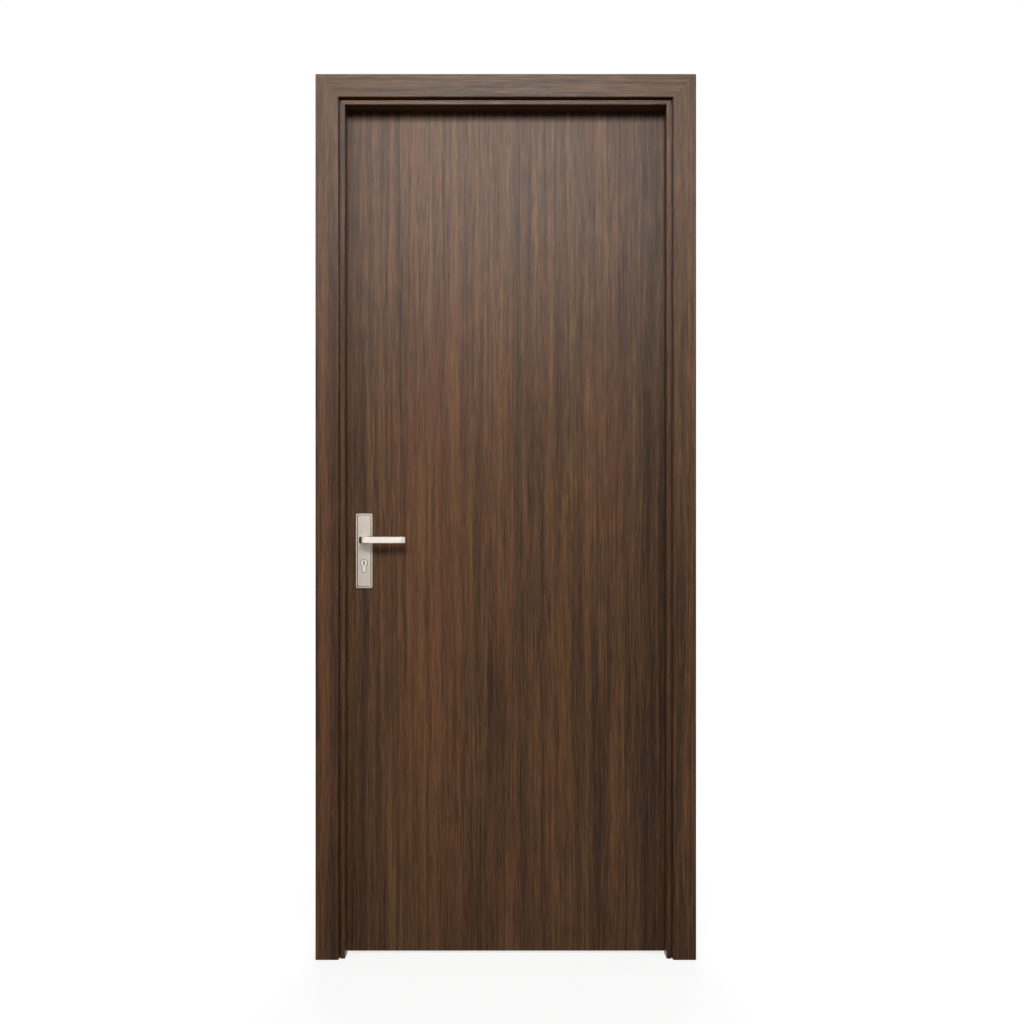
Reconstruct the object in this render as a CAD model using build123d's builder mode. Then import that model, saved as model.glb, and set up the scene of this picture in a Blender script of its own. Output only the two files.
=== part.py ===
"""Flush PVC door set: hollow frame profiles, clip-in stops, architraves, leaf, butt hinges and lever lock.

Millimetres, +Z up. The origin is on the hinge jamb's wall face, at floor level and at mid depth.
The front, with the clip-in stops in view, faces -Y. The leaf opens towards +Y.
"""
import os

from build123d import *

os.makedirs("parts", exist_ok=True)

# Frame
frame_width = 900.0
frame_height = 2200.0
frame_depth = 110.0
jamb_thickness = 30.0
wall_web = 5.0
chamber_width = 16.0
chamber_inset = 21.0
chamber_web = 4.0
chamber_count = 3
fixing_radius = 3.75
fixing_inset = 16.0
fixing_end = 150.0
fixing_step = 600.0

# Door stops and seals
stop_projection = 14.0
stop_tongue_width = 5.0
stop_tongue_depth = 3.5
stop_tongue_offset = 30.0
tongue_clearance = 0.2
shadow_gap_width = 3.0
shadow_gap_depth = 9.0
stop_round = 1.5
seal_gap = 5.0
seal_inset = 4.0
seal_stem_width = 3.0
seal_stem_depth = 5.0
seal_bulb_radius = 2.25

# Architraves
architrave_thickness = 15.0
architrave_overhang = 29.0
architrave_round = 2.0
front_cover = 29.0
back_cover = 14.0
leg_width = 5.0
leg_length = 11.0
leg_clearance = 0.5
front_leg_offset = 12.0
back_leg_offset = 5.0

# Leaf
leaf_thickness = 40.0
skin_thickness = 4.0
skin_round = 1.0
hinge_gap = 5.0
lock_gap = 6.0
head_gap = 6.0
floor_gap = 5.0
edge_bevel = 2.0
lock_stile_width = 115.0
hinge_stile_width = 60.0
top_rail_height = 80.0
bottom_rail_height = 100.0

# Butt hinges
hinge_height = 100.0
hinge_top_inset = 180.0
hinge_bottom_inset = 200.0
flap_thickness = 2.5
flap_depth = 32.0
knuckle_radius = 6.5
knuckle_count = 3
knuckle_gap = 0.4
knuckle_clearance = 1.5
pin_radius = 3.0
pin_clearance = 0.1
pin_offset = 9.0
pin_cap_radius = 5.0
pin_cap_height = 3.0

# Lock
spindle_height = 1057.5
backset = 50.0
lock_centres = 58.0
spindle_size = 8.0
spindle_hole_radius = 10.0
follower_radius = 6.5
forend_width = 22.0
forend_height = 220.0
forend_thickness = 3.0
forend_rise = 76.0
lock_case_depth = 72.0
lock_case_height = 160.0
lock_case_thickness = 15.0
lock_case_clearance = 1.0
latch_width = 11.0
latch_height = 18.0
latch_rise = 10.0
dead_bolt_width = 9.0
dead_bolt_height = 30.0
dead_bolt_drop = 54.0
bolt_length = 30.0
latch_slope = 8.0
bolt_clearance = 0.3
strike_width = 24.0
strike_height = 170.0
strike_thickness = 2.5
strike_hole_margin = 2.0
strike_pocket_depth = 10.0
strike_punch = 10.0

# Euro-profile cylinder
cylinder_round_radius = 8.5
cylinder_lobe_width = 10.0
cylinder_height = 33.0
cylinder_stand = 1.5
cylinder_fit = 0.4
cylinder_hole_margin = 1.5
keyway_width = 2.2
keyway_height = 8.5
keyway_depth = 12.0

# Handle plates
plate_width = 42.0
plate_rise = 69.0
plate_drop = 122.0
plate_arch = 1.5
plate_corner = 3.5
plate_thickness = 8.0
plate_rim_width = 3.0
plate_rim_thickness = 5.5
plate_bevel = 1.8
plate_hole_margin = 1.2
collar_radius = 13.0
collar_height = 2.0

# Levers
lever_length = 107.5
lever_height = 16.5
lever_reach = 56.0
lever_grip_thickness = 11.0
lever_neck_width = 19.5
lever_lift = 0.5
lever_elbow_radius = 15.0
lever_inner_radius = 8.0
lever_facet_run = 8.0
lever_facet_drop = 4.0
lever_chamfer = 1.0
journal_radius = 8.0
journal_length = 5.0
journal_clearance = 0.3
socket_clearance = 0.15
socket_depth = 26.0

# Shared positions
front_y = -frame_depth / 2
stop_depth = frame_depth - leaf_thickness - seal_gap
leaf_front_y = front_y + stop_depth + seal_gap
leaf_back_y = leaf_front_y + leaf_thickness
leaf_mid_y = (leaf_front_y + leaf_back_y) / 2
leaf_hinge_x = -jamb_thickness - hinge_gap
leaf_lock_x = -frame_width + jamb_thickness + lock_gap
leaf_top_z = frame_height - jamb_thickness - head_gap
leaf_height = leaf_top_z - floor_gap
pin_x = -jamb_thickness - hinge_gap / 2
pin_y = leaf_back_y + pin_offset
spindle_x = leaf_lock_x + edge_bevel / 2 + backset
cylinder_z = spindle_height - lock_centres
latch_z = spindle_height + latch_rise
dead_bolt_z = spindle_height - dead_bolt_drop
hinge_heights = {
    "top": leaf_top_z - hinge_top_inset - hinge_height / 2,
    "middle": floor_gap + leaf_height / 2,
    "bottom": floor_gap + hinge_bottom_inset + hinge_height / 2,
}
forend_z = spindle_height + forend_rise - forend_height / 2
lock_case_z = (spindle_height + cylinder_z) / 2
strike_z = (latch_z + dead_bolt_z) / 2
chamber_depth = (frame_depth - 2 * chamber_inset - (chamber_count - 1) * chamber_web) / chamber_count
fixing_y = front_y + frame_depth - fixing_inset
fixing_heights = (
    fixing_end,
    fixing_end + fixing_step,
    frame_height - fixing_end - fixing_step,
    frame_height - fixing_end,
)


def edge_x(y):
    """Gives X on the leaf's bevelled lock edge at depth y."""
    return leaf_lock_x + edge_bevel * (leaf_back_y - y) / leaf_thickness


def euro_profile(plane, grow):
    """Draws the euro-profile outline, grown all round, with the plug's centre at the plane's origin."""
    lobe_radius = cylinder_lobe_width / 2
    lobe_drop = cylinder_height - cylinder_round_radius - lobe_radius
    with BuildSketch(plane) as outline:
        Circle(cylinder_round_radius + grow)
        with Locations((0, -lobe_drop / 2)):
            Rectangle(cylinder_lobe_width + 2 * grow, lobe_drop)
        with Locations((0, -lobe_drop)):
            Circle(lobe_radius + grow)
    return outline.sketch


# Frame members: u runs from the wall face into the doorway, v from the front edge to the back
corner_run = 2 * architrave_overhang
member_planes = {
    "lock": Plane(origin=(-frame_width, front_y, 0), x_dir=(1, 0, 0), z_dir=(0, 0, 1)),
    "hinge": Plane(origin=(0, front_y, 0), x_dir=(-1, 0, 0), z_dir=(0, 0, -1)),
    "head": Plane(origin=(-frame_width - corner_run, front_y, frame_height), x_dir=(0, 0, -1), z_dir=(1, 0, 0)),
}
member_runs = {
    "lock": frame_height + corner_run,
    "hinge": -frame_height - corner_run,
    "head": frame_width + 2 * corner_run,
}
lock_mitre = Plane(origin=(-frame_width, 0, frame_height), x_dir=(0, 1, 0), z_dir=(-1, 0, -1))
hinge_mitre = Plane(origin=(0, 0, frame_height), x_dir=(0, 1, 0), z_dir=(1, 0, -1))


def cut_mitres(member):
    """Cuts the member in hand at the 45 degree corner planes."""
    if member == "lock":
        split(bisect_by=lock_mitre, keep=Keep.TOP)
    elif member == "hinge":
        split(bisect_by=hinge_mitre, keep=Keep.TOP)
    else:
        split(bisect_by=lock_mitre, keep=Keep.BOTTOM)
        split(bisect_by=hinge_mitre, keep=Keep.BOTTOM)


front_slot = (front_leg_offset - leg_clearance, front_leg_offset + leg_width + leg_clearance)
back_slot = (back_leg_offset - leg_clearance, back_leg_offset + leg_width + leg_clearance)
slot_depth = leg_length + leg_clearance
groove_start = stop_tongue_offset - tongue_clearance
groove_end = stop_tongue_offset + stop_tongue_width + tongue_clearance
groove_floor = jamb_thickness - stop_tongue_depth - tongue_clearance
stop_face = jamb_thickness + stop_projection
seal_line = stop_face - seal_inset

for member in member_planes:
    # Hollow jamb profile with a slot for each architrave's leg and a groove for the stop's tongue
    with BuildPart() as jamb:
        with BuildSketch(member_planes[member]):
            with BuildLine():
                Polyline(
                    (0, 0),
                    (front_slot[0], 0),
                    (front_slot[0], slot_depth),
                    (front_slot[1], slot_depth),
                    (front_slot[1], 0),
                    (jamb_thickness, 0),
                    (jamb_thickness, groove_start),
                    (groove_floor, groove_start),
                    (groove_floor, groove_end),
                    (jamb_thickness, groove_end),
                    (jamb_thickness, frame_depth),
                    (back_slot[1], frame_depth),
                    (back_slot[1], frame_depth - slot_depth),
                    (back_slot[0], frame_depth - slot_depth),
                    (back_slot[0], frame_depth),
                    (0, frame_depth),
                    close=True,
                )
            make_face()
            with Locations((wall_web + chamber_width / 2, frame_depth / 2)):
                with GridLocations(0, chamber_depth + chamber_web, 1, chamber_count):
                    Rectangle(chamber_width, chamber_depth, mode=Mode.SUBTRACT)
        extrude(amount=member_runs[member])
        cut_mitres(member)
        if member != "head":
            with BuildSketch(Plane.YZ):
                with Locations(*[(fixing_y, height) for height in fixing_heights]):
                    Circle(fixing_radius)
            extrude(amount=-frame_width, mode=Mode.SUBTRACT)
        if member == "hinge":
            for height in hinge_heights.values():
                with Locations((-jamb_thickness, leaf_back_y - flap_depth / 2, height)):
                    Box(2 * flap_thickness, flap_depth, hinge_height, mode=Mode.SUBTRACT)
        if member == "lock":
            rebate_x = -frame_width + jamb_thickness
            with Locations((rebate_x, leaf_mid_y, strike_z)):
                Box(2 * strike_thickness, strike_width, strike_height, mode=Mode.SUBTRACT)
            pocket_x = rebate_x - strike_thickness - strike_pocket_depth / 2
            with Locations((pocket_x, leaf_mid_y, latch_z)):
                Box(
                    strike_pocket_depth,
                    latch_width + 2 * strike_hole_margin,
                    latch_height + 2 * strike_hole_margin,
                    mode=Mode.SUBTRACT,
                )
            with Locations((pocket_x, leaf_mid_y, dead_bolt_z)):
                Box(
                    strike_pocket_depth,
                    dead_bolt_width + 2 * strike_hole_margin,
                    dead_bolt_height + 2 * strike_hole_margin,
                    mode=Mode.SUBTRACT,
                )
    jamb.part.label = f"{member}_jamb"
    export_step(jamb.part, f"parts/{member}_jamb.step")

    # Clip-in stop with a shadow gap beside the architrave and a groove for the seal
    with BuildPart() as stop:
        with BuildSketch(member_planes[member]) as stop_section:
            with BuildLine():
                Polyline(
                    (jamb_thickness + shadow_gap_width, 0),
                    (stop_face, 0),
                    (stop_face, stop_depth),
                    (seal_line + seal_stem_width / 2, stop_depth),
                    (seal_line + seal_stem_width / 2, stop_depth - seal_stem_depth),
                    (seal_line - seal_stem_width / 2, stop_depth - seal_stem_depth),
                    (seal_line - seal_stem_width / 2, stop_depth),
                    (jamb_thickness, stop_depth),
                    (jamb_thickness, stop_tongue_offset + stop_tongue_width),
                    (jamb_thickness - stop_tongue_depth, stop_tongue_offset + stop_tongue_width),
                    (jamb_thickness - stop_tongue_depth, stop_tongue_offset),
                    (jamb_thickness, stop_tongue_offset),
                    (jamb_thickness, shadow_gap_depth),
                    (jamb_thickness + shadow_gap_width, shadow_gap_depth),
                    close=True,
                )
            make_face()
            fillet(stop_section.vertices().sort_by_distance((stop_face, 0))[0], radius=stop_round)
        extrude(amount=member_runs[member])
        cut_mitres(member)
    stop.part.label = f"{member}_stop"
    export_step(stop.part, f"parts/{member}_stop.step")

    # Bulb seal on a stem pressed into the stop
    with BuildPart() as seal:
        with BuildSketch(member_planes[member]):
            with Locations((seal_line, stop_depth + seal_bulb_radius)):
                Circle(seal_bulb_radius)
            with Locations((seal_line, stop_depth + (seal_bulb_radius - seal_stem_depth) / 2)):
                Rectangle(seal_stem_width, seal_stem_depth + seal_bulb_radius)
        extrude(amount=member_runs[member])
        cut_mitres(member)
    seal.part.label = f"{member}_seal"
    export_step(seal.part, f"parts/{member}_seal.step")

    # Front architrave: flat face over wall and jamb, with a leg in the jamb's slot
    with BuildPart() as front_architrave:
        with BuildSketch(member_planes[member]) as front_section:
            with BuildLine():
                Polyline(
                    (-architrave_overhang, -architrave_thickness),
                    (front_cover, -architrave_thickness),
                    (front_cover, 0),
                    (front_leg_offset + leg_width, 0),
                    (front_leg_offset + leg_width, leg_length),
                    (front_leg_offset, leg_length),
                    (front_leg_offset, 0),
                    (-architrave_overhang, 0),
                    close=True,
                )
            make_face()
            fillet(front_section.vertices().sort_by(Axis.Y)[:2], radius=architrave_round)
        extrude(amount=member_runs[member])
        cut_mitres(member)
    front_architrave.part.label = f"front_{member}_architrave"
    export_step(front_architrave.part, f"parts/front_{member}_architrave.step")

    # Back architrave: narrower on the jamb, to leave the hinge knuckles free
    with BuildPart() as back_architrave:
        with BuildSketch(member_planes[member]) as back_section:
            with BuildLine():
                Polyline(
                    (-architrave_overhang, frame_depth),
                    (back_leg_offset, frame_depth),
                    (back_leg_offset, frame_depth - leg_length),
                    (back_leg_offset + leg_width, frame_depth - leg_length),
                    (back_leg_offset + leg_width, frame_depth),
                    (back_cover, frame_depth),
                    (back_cover, frame_depth + architrave_thickness),
                    (-architrave_overhang, frame_depth + architrave_thickness),
                    close=True,
                )
            make_face()
            fillet(back_section.vertices().sort_by(Axis.Y)[-2:], radius=architrave_round)
        extrude(amount=member_runs[member])
        cut_mitres(member)
    back_architrave.part.label = f"back_{member}_architrave"
    export_step(back_architrave.part, f"parts/back_{member}_architrave.step")

# Strike plate, flush in the lock jamb's rebate
with BuildPart() as strike_plate:
    with Locations((-frame_width + jamb_thickness - strike_thickness / 2, leaf_mid_y, strike_z)):
        Box(strike_thickness, strike_width, strike_height)
    with Locations((-frame_width + jamb_thickness, leaf_mid_y, latch_z)):
        Box(
            strike_punch,
            latch_width + 2 * strike_hole_margin,
            latch_height + 2 * strike_hole_margin,
            mode=Mode.SUBTRACT,
        )
    with Locations((-frame_width + jamb_thickness, leaf_mid_y, dead_bolt_z)):
        Box(
            strike_punch,
            dead_bolt_width + 2 * strike_hole_margin,
            dead_bolt_height + 2 * strike_hole_margin,
            mode=Mode.SUBTRACT,
        )
strike_plate.part.label = "strike_plate"
export_step(strike_plate.part, "parts/strike_plate.step")

# Butt hinges: the flaps reach the pin through alternate knuckles
knuckle_pitch = hinge_height / knuckle_count
flap_front_y = leaf_back_y - flap_depth
flap_back_y = pin_y - knuckle_radius - knuckle_clearance
jamb_flap_x = -jamb_thickness + flap_thickness / 2
leaf_flap_x = leaf_hinge_x - flap_thickness / 2

for hinge, height in hinge_heights.items():
    for owner, flap_x, first in (("jamb", jamb_flap_x, 0), ("leaf", leaf_flap_x, 1)):
        with BuildPart() as flap:
            with Locations((flap_x, (flap_front_y + flap_back_y) / 2, height)):
                Box(flap_thickness, flap_back_y - flap_front_y, hinge_height)
            for knuckle in range(first, knuckle_count, 2):
                knuckle_z = height - hinge_height / 2 + (knuckle + 0.5) * knuckle_pitch
                with Locations((flap_x, (flap_back_y + pin_y) / 2, knuckle_z)):
                    Box(flap_thickness, pin_y - flap_back_y, knuckle_pitch - knuckle_gap)
                with Locations((pin_x, pin_y, knuckle_z)):
                    Cylinder(knuckle_radius, knuckle_pitch - knuckle_gap)
            with Locations((pin_x, pin_y, height)):
                Cylinder(pin_radius + pin_clearance, hinge_height, mode=Mode.SUBTRACT)
        flap.part.label = f"{hinge}_hinge_{owner}_flap"
        export_step(flap.part, f"parts/{hinge}_hinge_{owner}_flap.step")

    with BuildPart() as pin:
        with Locations((pin_x, pin_y, height)):
            Cylinder(pin_radius, hinge_height)
        with Locations((pin_x, pin_y, height + (hinge_height + pin_cap_height - knuckle_gap) / 2)):
            Cylinder(pin_cap_radius, pin_cap_height)
    pin.part.label = f"{hinge}_hinge_pin"
    export_step(pin.part, f"parts/{hinge}_hinge_pin.step")

# Leaf skins, drilled for the spindle and the cylinder
lock_plane = Plane(origin=(spindle_x, leaf_mid_y, spindle_height), x_dir=(1, 0, 0), z_dir=(0, -1, 0))
cylinder_plane = Plane(origin=(spindle_x, leaf_mid_y, cylinder_z), x_dir=(1, 0, 0), z_dir=(0, -1, 0))
leaf_plane = Plane.XY.offset(floor_gap)
skin_depths = {
    "front": (leaf_front_y, leaf_front_y + skin_thickness),
    "back": (leaf_back_y - skin_thickness, leaf_back_y),
}

for face, (near_y, far_y) in skin_depths.items():
    with BuildPart() as skin:
        with BuildSketch(leaf_plane) as skin_section:
            with BuildLine():
                Polyline(
                    (edge_x(near_y), near_y),
                    (leaf_hinge_x, near_y),
                    (leaf_hinge_x, far_y),
                    (edge_x(far_y), far_y),
                    close=True,
                )
            make_face()
            by_depth = skin_section.vertices().sort_by(Axis.Y)
            fillet(by_depth[:2] if face == "front" else by_depth[-2:], radius=skin_round)
        extrude(amount=leaf_height)
        with BuildSketch(lock_plane):
            Circle(spindle_hole_radius)
        extrude(amount=leaf_thickness, both=True, mode=Mode.SUBTRACT)
        extrude(
            euro_profile(cylinder_plane, cylinder_hole_margin),
            amount=leaf_thickness,
            both=True,
            mode=Mode.SUBTRACT,
        )
        if face == "back":
            for height in hinge_heights.values():
                with Locations((leaf_hinge_x, leaf_back_y - flap_depth / 2, height)):
                    Box(2 * flap_thickness, flap_depth, hinge_height, mode=Mode.SUBTRACT)
    skin.part.label = f"{face}_skin"
    export_step(skin.part, f"parts/{face}_skin.step")

# Leaf framing between the skins
core_front_y = leaf_front_y + skin_thickness
core_back_y = leaf_back_y - skin_thickness
core_thickness = core_back_y - core_front_y
lock_stile_x = leaf_lock_x + lock_stile_width
hinge_stile_x = leaf_hinge_x - hinge_stile_width
forend_front_y = leaf_mid_y - forend_width / 2
forend_back_y = leaf_mid_y + forend_width / 2
lock_case_x = edge_x(leaf_mid_y) + lock_case_depth / 2

with BuildPart() as lock_stile:
    with BuildSketch(leaf_plane):
        with BuildLine():
            Polyline(
                (edge_x(core_front_y), core_front_y),
                (lock_stile_x, core_front_y),
                (lock_stile_x, core_back_y),
                (edge_x(core_back_y), core_back_y),
                close=True,
            )
        make_face()
    extrude(amount=leaf_height)
    with Locations((edge_x(leaf_mid_y), leaf_mid_y, forend_z)):
        Box(2 * forend_thickness, forend_width, forend_height, mode=Mode.SUBTRACT)
    with Locations((lock_case_x, leaf_mid_y, lock_case_z)):
        Box(
            lock_case_depth + 2 * lock_case_clearance,
            lock_case_thickness + 2 * lock_case_clearance,
            lock_case_height + 2 * lock_case_clearance,
            mode=Mode.SUBTRACT,
        )
    with BuildSketch(lock_plane):
        Circle(spindle_hole_radius)
    extrude(amount=leaf_thickness, both=True, mode=Mode.SUBTRACT)
    extrude(
        euro_profile(cylinder_plane, cylinder_hole_margin),
        amount=leaf_thickness,
        both=True,
        mode=Mode.SUBTRACT,
    )
lock_stile.part.label = "lock_stile"
export_step(lock_stile.part, "parts/lock_stile.step")

with BuildPart() as hinge_stile:
    with Locations((leaf_hinge_x - hinge_stile_width / 2, leaf_mid_y, floor_gap + leaf_height / 2)):
        Box(hinge_stile_width, core_thickness, leaf_height)
    for height in hinge_heights.values():
        with Locations((leaf_hinge_x, leaf_back_y - flap_depth / 2, height)):
            Box(2 * flap_thickness, flap_depth, hinge_height, mode=Mode.SUBTRACT)
hinge_stile.part.label = "hinge_stile"
export_step(hinge_stile.part, "parts/hinge_stile.step")

rail_x = (lock_stile_x + hinge_stile_x) / 2
rail_length = hinge_stile_x - lock_stile_x

with BuildPart() as top_rail:
    with Locations((rail_x, leaf_mid_y, leaf_top_z - top_rail_height / 2)):
        Box(rail_length, core_thickness, top_rail_height)
top_rail.part.label = "top_rail"
export_step(top_rail.part, "parts/top_rail.step")

with BuildPart() as bottom_rail:
    with Locations((rail_x, leaf_mid_y, floor_gap + bottom_rail_height / 2)):
        Box(rail_length, core_thickness, bottom_rail_height)
bottom_rail.part.label = "bottom_rail"
export_step(bottom_rail.part, "parts/bottom_rail.step")

# Mortise lock: case and forend, with the bolts drawn back
forend_plane = Plane.XY.offset(forend_z - forend_height / 2)
bolt_x = edge_x(leaf_mid_y) + edge_bevel / 2 + bolt_length / 2

with BuildPart() as mortise_lock:
    with Locations((lock_case_x, leaf_mid_y, lock_case_z)):
        Box(lock_case_depth - 2 * forend_thickness, lock_case_thickness, lock_case_height)
    with BuildSketch(forend_plane):
        with BuildLine():
            Polyline(
                (edge_x(forend_front_y), forend_front_y),
                (edge_x(leaf_mid_y) + forend_thickness, forend_front_y),
                (edge_x(leaf_mid_y) + forend_thickness, forend_back_y),
                (edge_x(forend_back_y), forend_back_y),
                close=True,
            )
        make_face()
    extrude(amount=forend_height)
    with BuildSketch(lock_plane):
        Circle(follower_radius)
    extrude(amount=leaf_thickness, both=True, mode=Mode.SUBTRACT)
    extrude(euro_profile(cylinder_plane, cylinder_fit), amount=leaf_thickness, both=True, mode=Mode.SUBTRACT)
    with Locations((bolt_x - edge_bevel, leaf_mid_y, latch_z)):
        Box(
            bolt_length + 2 * edge_bevel,
            latch_width + 2 * bolt_clearance,
            latch_height + 2 * bolt_clearance,
            mode=Mode.SUBTRACT,
        )
    with Locations((bolt_x - edge_bevel, leaf_mid_y, dead_bolt_z)):
        Box(
            bolt_length + 2 * edge_bevel,
            dead_bolt_width + 2 * bolt_clearance,
            dead_bolt_height + 2 * bolt_clearance,
            mode=Mode.SUBTRACT,
        )
mortise_lock.part.label = "mortise_lock"
export_step(mortise_lock.part, "parts/mortise_lock.step")

with BuildPart() as latch_bolt:
    with BuildSketch(Plane.XY.offset(latch_z)):
        with BuildLine():
            Polyline(
                (bolt_x - bolt_length / 2, leaf_mid_y + latch_width / 2),
                (bolt_x - bolt_length / 2 + latch_slope, leaf_mid_y - latch_width / 2),
                (bolt_x + bolt_length / 2, leaf_mid_y - latch_width / 2),
                (bolt_x + bolt_length / 2, leaf_mid_y + latch_width / 2),
                close=True,
            )
        make_face()
    extrude(amount=latch_height / 2, both=True)
latch_bolt.part.label = "latch_bolt"
export_step(latch_bolt.part, "parts/latch_bolt.step")

with BuildPart() as dead_bolt:
    with Locations((bolt_x, leaf_mid_y, dead_bolt_z)):
        Box(bolt_length, dead_bolt_width, dead_bolt_height)
dead_bolt.part.label = "dead_bolt"
export_step(dead_bolt.part, "parts/dead_bolt.step")

# Euro-profile cylinder with a keyway at each end
cylinder_half = leaf_thickness / 2 + plate_thickness + cylinder_stand

with BuildPart() as lock_cylinder:
    extrude(euro_profile(cylinder_plane, 0), amount=cylinder_half, both=True)
    for end in (-1, 1):
        end_y = leaf_mid_y + end * cylinder_half
        end_plane = Plane(origin=(spindle_x, end_y, cylinder_z), x_dir=(1, 0, 0), z_dir=(0, end, 0))
        with BuildSketch(end_plane):
            Rectangle(keyway_width, keyway_height)
        extrude(amount=-keyway_depth, mode=Mode.SUBTRACT)
lock_cylinder.part.label = "lock_cylinder"
export_step(lock_cylinder.part, "parts/lock_cylinder.step")

# Handle plates and levers, the back set mirroring the front
journal_start = plate_thickness + collar_height + lever_lift
lever_sides = {"front": (leaf_front_y, -1), "back": (leaf_back_y, 1)}

for face, (face_y, outward) in lever_sides.items():
    face_plane = Plane(origin=(spindle_x, face_y, spindle_height), x_dir=(-outward, 0, 0), z_dir=(0, outward, 0))
    plan_plane = Plane(origin=(spindle_x, face_y, spindle_height), x_dir=(1, 0, 0), z_dir=(0, 0, outward))

    with BuildPart() as handle_plate:
        for inset, height in ((0, plate_rim_thickness), (plate_rim_width, plate_thickness)):
            half = plate_width / 2 - inset
            top = plate_rise - inset
            bottom = -plate_drop + inset
            with BuildSketch(face_plane) as plate_outline:
                with BuildLine():
                    Polyline((-half, top - plate_arch), (-half, bottom), (half, bottom), (half, top - plate_arch))
                    ThreePointArc((half, top - plate_arch), (0, top), (-half, top - plate_arch))
                make_face()
                fillet(plate_outline.vertices(), radius=plate_corner - inset / 2)
            extrude(amount=height)
        outer_face = handle_plate.faces().sort_by(Axis.Y)[0 if outward < 0 else -1]
        chamfer(outer_face.edges(), length=plate_bevel)
        with BuildSketch(face_plane.offset(plate_thickness)):
            Circle(collar_radius)
        extrude(amount=collar_height)
        with BuildSketch(face_plane):
            Circle(journal_radius + journal_clearance)
        extrude(amount=2 * journal_start, mode=Mode.SUBTRACT)
        extrude(
            euro_profile(cylinder_plane, plate_hole_margin),
            amount=2 * leaf_thickness,
            both=True,
            mode=Mode.SUBTRACT,
        )
    handle_plate.part.label = f"{face}_handle_plate"
    export_step(handle_plate.part, f"parts/{face}_handle_plate.step")

    with BuildPart() as lever:
        with BuildSketch(plan_plane) as lever_plan:
            neck = lever_neck_width / 2
            grip_back = lever_reach - lever_grip_thickness
            with BuildLine():
                Polyline(
                    (-neck, journal_start),
                    (-neck, lever_reach),
                    (lever_length - lever_facet_run, lever_reach),
                    (lever_length, lever_reach - lever_facet_drop),
                    (lever_length, grip_back),
                    (neck, grip_back),
                    (neck, journal_start),
                    close=True,
                )
            make_face()
            fillet(lever_plan.vertices().sort_by_distance((-neck, lever_reach))[0], radius=lever_elbow_radius)
            fillet(lever_plan.vertices().sort_by_distance((neck, grip_back))[0], radius=lever_inner_radius)
        extrude(amount=lever_height / 2, both=True)
        chamfer(lever.faces().filter_by(Axis.Z).edges(), length=lever_chamfer)
        with BuildSketch(face_plane.offset(journal_start)):
            Circle(journal_radius)
        extrude(amount=-journal_length)
        with BuildSketch(face_plane.offset(journal_start - journal_length)):
            Rectangle(spindle_size + 2 * socket_clearance, spindle_size + 2 * socket_clearance)
        extrude(amount=socket_depth, mode=Mode.SUBTRACT)
    lever.part.label = f"{face}_lever"
    export_step(lever.part, f"parts/{face}_lever.step")

# Square spindle joining the levers
spindle_length = leaf_thickness + 2 * (journal_start - journal_length + socket_depth)

with BuildPart() as spindle:
    with Locations((spindle_x, leaf_mid_y, spindle_height)):
        Box(spindle_size, spindle_length, spindle_size)
spindle.part.label = "spindle"
export_step(spindle.part, "parts/spindle.step")
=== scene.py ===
"""Looks of a flush PVC door set: wood-grain film, nickel furniture, steel hinges and small fasteners."""
import logging
import math
from dataclasses import dataclass
from enum import Enum
from typing import Sequence

import bmesh
import bpy
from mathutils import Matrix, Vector


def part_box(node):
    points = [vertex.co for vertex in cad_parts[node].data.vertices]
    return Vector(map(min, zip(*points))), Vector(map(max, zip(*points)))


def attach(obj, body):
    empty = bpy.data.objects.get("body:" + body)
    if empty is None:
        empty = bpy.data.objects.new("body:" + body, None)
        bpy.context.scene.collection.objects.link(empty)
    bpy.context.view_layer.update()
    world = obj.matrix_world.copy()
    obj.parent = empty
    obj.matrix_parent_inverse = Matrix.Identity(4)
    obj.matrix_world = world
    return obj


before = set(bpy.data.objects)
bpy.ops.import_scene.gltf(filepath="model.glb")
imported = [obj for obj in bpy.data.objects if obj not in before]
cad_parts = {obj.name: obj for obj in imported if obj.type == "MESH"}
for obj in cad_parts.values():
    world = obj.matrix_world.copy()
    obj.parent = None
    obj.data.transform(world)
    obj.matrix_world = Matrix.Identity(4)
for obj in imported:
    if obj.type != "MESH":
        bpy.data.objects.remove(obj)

LOG = logging.getLogger("door_set")
MM = 0.001
WHITE = (1.0, 1.0, 1.0, 1.0)
DOOR_MIDDLE_X = -0.45

# A euro-profile cylinder: the round part, and the middle of the lobe's round foot below it
EURO_RADIUS = 8.5 * MM
EURO_HALF_LOBE = 5.0 * MM
EURO_LOBE_DROP = 19.5 * MM

# The side ward of a key slot, in shares of the slot's half width and half height
WARD_REACH = 1.7
WARD_LEVELS = (-0.25, -0.1, 0.2, 0.35)

Colour = tuple[float, float, float]
Point2 = tuple[float, float]
Point3 = tuple[float, float, float]
Socket = bpy.types.NodeSocket
Ring = list[bmesh.types.BMVert]


class Grain(Enum):
    """Which way the printed wood grain runs."""

    UPRIGHT = "upright"
    LEVEL = "level"


class Side(Enum):
    """The two faces of the door. The value is the way along Y that the face looks."""

    FRONT = -1
    BACK = 1

    @property
    def label(self) -> str:
        """The side's word in the names of pieces."""
        return self.name.lower()

    @property
    def normal(self) -> Vector:
        """The way that the side looks."""
        return Vector((0.0, self.value, 0.0))

    def face_y(self, node: str) -> float:
        """Gives the Y of a node's face on this side."""
        low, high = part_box(node)
        return low[1] if self is Side.FRONT else high[1]


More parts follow.
